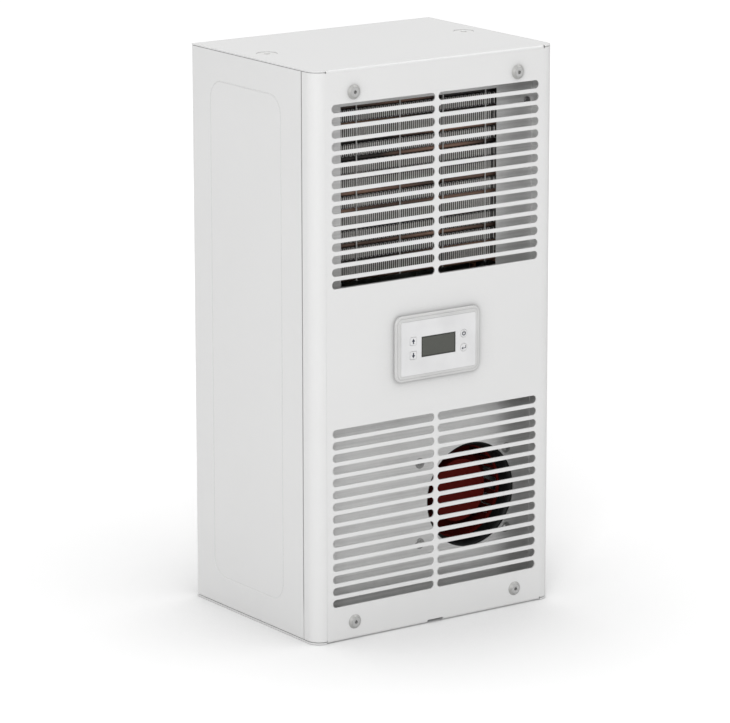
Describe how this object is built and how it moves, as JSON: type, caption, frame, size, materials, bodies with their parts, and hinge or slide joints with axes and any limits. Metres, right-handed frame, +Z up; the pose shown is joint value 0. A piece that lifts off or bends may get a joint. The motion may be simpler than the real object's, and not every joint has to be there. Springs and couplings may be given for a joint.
{
  "type": "enclosure cooling unit",
  "caption": "Slim side-mounted cooling unit: folded hood with slotted grilles, display with keys, condenser coil, drum fan, compressor and rear air openings",
  "frame": {"origin": "centre of the bounding box at its bottom", "axes": "+X right and +Z up as seen from the front, +Y from the front face to the cabinet"},
  "size_m": [0.28, 0.2152, 0.55],
  "materials": {
    "front_hood": "light grey powder coat",
    "hood_screws": "zinc coated",
    "cup_washers": "zinc coated",
    "hood_nuts": "zinc coated",
    "side_panel_left": "light grey powder coat",
    "side_panel_right": "light grey powder coat",
    "rear_wall": "light grey powder coat",
    "socket_carrier": "light grey powder coat",
    "chassis_roof": "zinc coated",
    "chassis_base": "zinc coated",
    "lifting_nuts": "zinc coated",
    "air_guide": "zinc coated",
    "guide_screws": "zinc coated",
    "condenser_tube": "bare",
    "condenser_fins": "bare",
    "condenser_straps": "zinc coated",
    "condenser_brackets": "zinc coated",
    "fan_inlet_ring": "moulded",
    "fan_scroll": "zinc coated",
    "ambient_impeller": "moulded",
    "ambient_motor": "moulded",
    "fan_screws": "zinc coated",
    "compressor": "light grey powder coat",
    "terminal_cover": "moulded",
    "compressor_grommets": "matt",
    "compressor_bolts": "zinc coated",
    "filter_drier": "copper tube",
    "discharge_line": "copper tube",
    "liquid_line": "copper tube",
    "capillary_tube": "copper tube",
    "suction_line": "matt",
    "control_tray": "zinc coated",
    "control_board": "moulded",
    "board_standoffs": "zinc coated",
    "board_components": "moulded",
    "run_capacitor": "bare",
    "partition": "zinc coated",
    "insulation": "matt",
    "cabinet_inlet_ring": "moulded",
    "cabinet_impeller": "moulded",
    "cabinet_motor": "moulded",
    "motor_bridge": "zinc coated",
    "inlet_guard": "zinc coated",
    "guard_screws": "zinc coated",
    "evaporator_fins": "bare",
    "evaporator_tubes": "copper tube",
    "evaporator_plates": "zinc coated",
    "drip_tray": "moulded",
    "drain_socket": "moulded",
    "mounting_nuts": "zinc coated",
    "rear_gasket": "matt",
    "power_inlet": "moulded",
    "display_frame": "moulded",
    "display_film": "moulded",
    "display_screen": "clear over a dark screen",
    "key_up": "moulded",
    "key_down": "moulded",
    "key_set": "moulded",
    "key_return": "moulded",
    "display_board": "moulded"
  },
  "bodies": {
    "casing": {"front_hood": "front_hood", "hood_screws": "hood_screws", "cup_washers": "cup_washers", "hood_nuts": "hood_nuts", "side_panel_left": "side_panel_left", "side_panel_right": "side_panel_right", "rear_wall": "rear_wall", "socket_carrier": "socket_carrier", "chassis_roof": "chassis_roof", "chassis_base": "chassis_base", "lifting_nuts": "lifting_nuts", "air_guide": "air_guide", "guide_screws": "guide_screws", "condenser_tube": "condenser_tube", "condenser_fins": "condenser_fins", "condenser_straps": "condenser_straps", "condenser_brackets": "condenser_brackets", "fan_inlet_ring": "fan_inlet_ring", "fan_scroll": "fan_scroll", "ambient_motor": "ambient_motor", "fan_screws": "fan_screws", "compressor": "compressor", "terminal_cover": "terminal_cover", "compressor_grommets": "compressor_grommets", "compressor_bolts": "compressor_bolts", "filter_drier": "filter_drier", "discharge_line": "discharge_line", "liquid_line": "liquid_line", "capillary_tube": "capillary_tube", "suction_line": "suction_line", "control_tray": "control_tray", "control_board": "control_board", "board_standoffs": "board_standoffs", "board_components": "board_components", "run_capacitor": "run_capacitor", "partition": "partition", "insulation": "insulation", "cabinet_inlet_ring": "cabinet_inlet_ring", "cabinet_motor": "cabinet_motor", "motor_bridge": "motor_bridge", "inlet_guard": "inlet_guard", "guard_screws": "guard_screws", "evaporator_fins": "evaporator_fins", "evaporator_tubes": "evaporator_tubes", "evaporator_plates": "evaporator_plates", "drip_tray": "drip_tray", "drain_socket": "drain_socket", "mounting_nuts": "mounting_nuts", "rear_gasket": "rear_gasket", "power_inlet": "power_inlet", "display_frame": "display_frame", "display_film": "display_film", "display_screen": "display_screen", "display_board": "display_board"},
    "key_up": {"key_up": "key_up"},
    "key_down": {"key_down": "key_down"},
    "key_set": {"key_set": "key_set"},
    "key_return": {"key_return": "key_return"},
    "ambient_fan": {"ambient_impeller": "ambient_impeller"},
    "cabinet_fan": {"cabinet_impeller": "cabinet_impeller"}
  },
  "joints": [
    {"name": "key_up_press", "type": "slide", "parent": "casing", "child": "key_up", "axis": [0, 1, 0], "range_m": [0, 0.0004], "stiffness_N_per_m": 400, "springref_m": -0.0005},
    {"name": "key_down_press", "type": "slide", "parent": "casing", "child": "key_down", "axis": [0, 1, 0], "range_m": [0, 0.0004], "stiffness_N_per_m": 400, "springref_m": -0.0005},
    {"name": "key_set_press", "type": "slide", "parent": "casing", "child": "key_set", "axis": [0, 1, 0], "range_m": [0, 0.0004], "stiffness_N_per_m": 400, "springref_m": -0.0005},
    {"name": "key_return_press", "type": "slide", "parent": "casing", "child": "key_return", "axis": [0, 1, 0], "range_m": [0, 0.0004], "stiffness_N_per_m": 400, "springref_m": -0.0005},
    {"name": "ambient_fan_spin", "type": "hinge", "parent": "casing", "child": "ambient_fan", "pos_m": [0.0657, -0.04345, 0.1096], "axis": [0, 1, 0], "continuous": true},
    {"name": "cabinet_fan_spin", "type": "hinge", "parent": "casing", "child": "cabinet_fan", "pos_m": [0, 0.07655, 0.44], "axis": [0, 1, 0], "continuous": true}
  ]
}
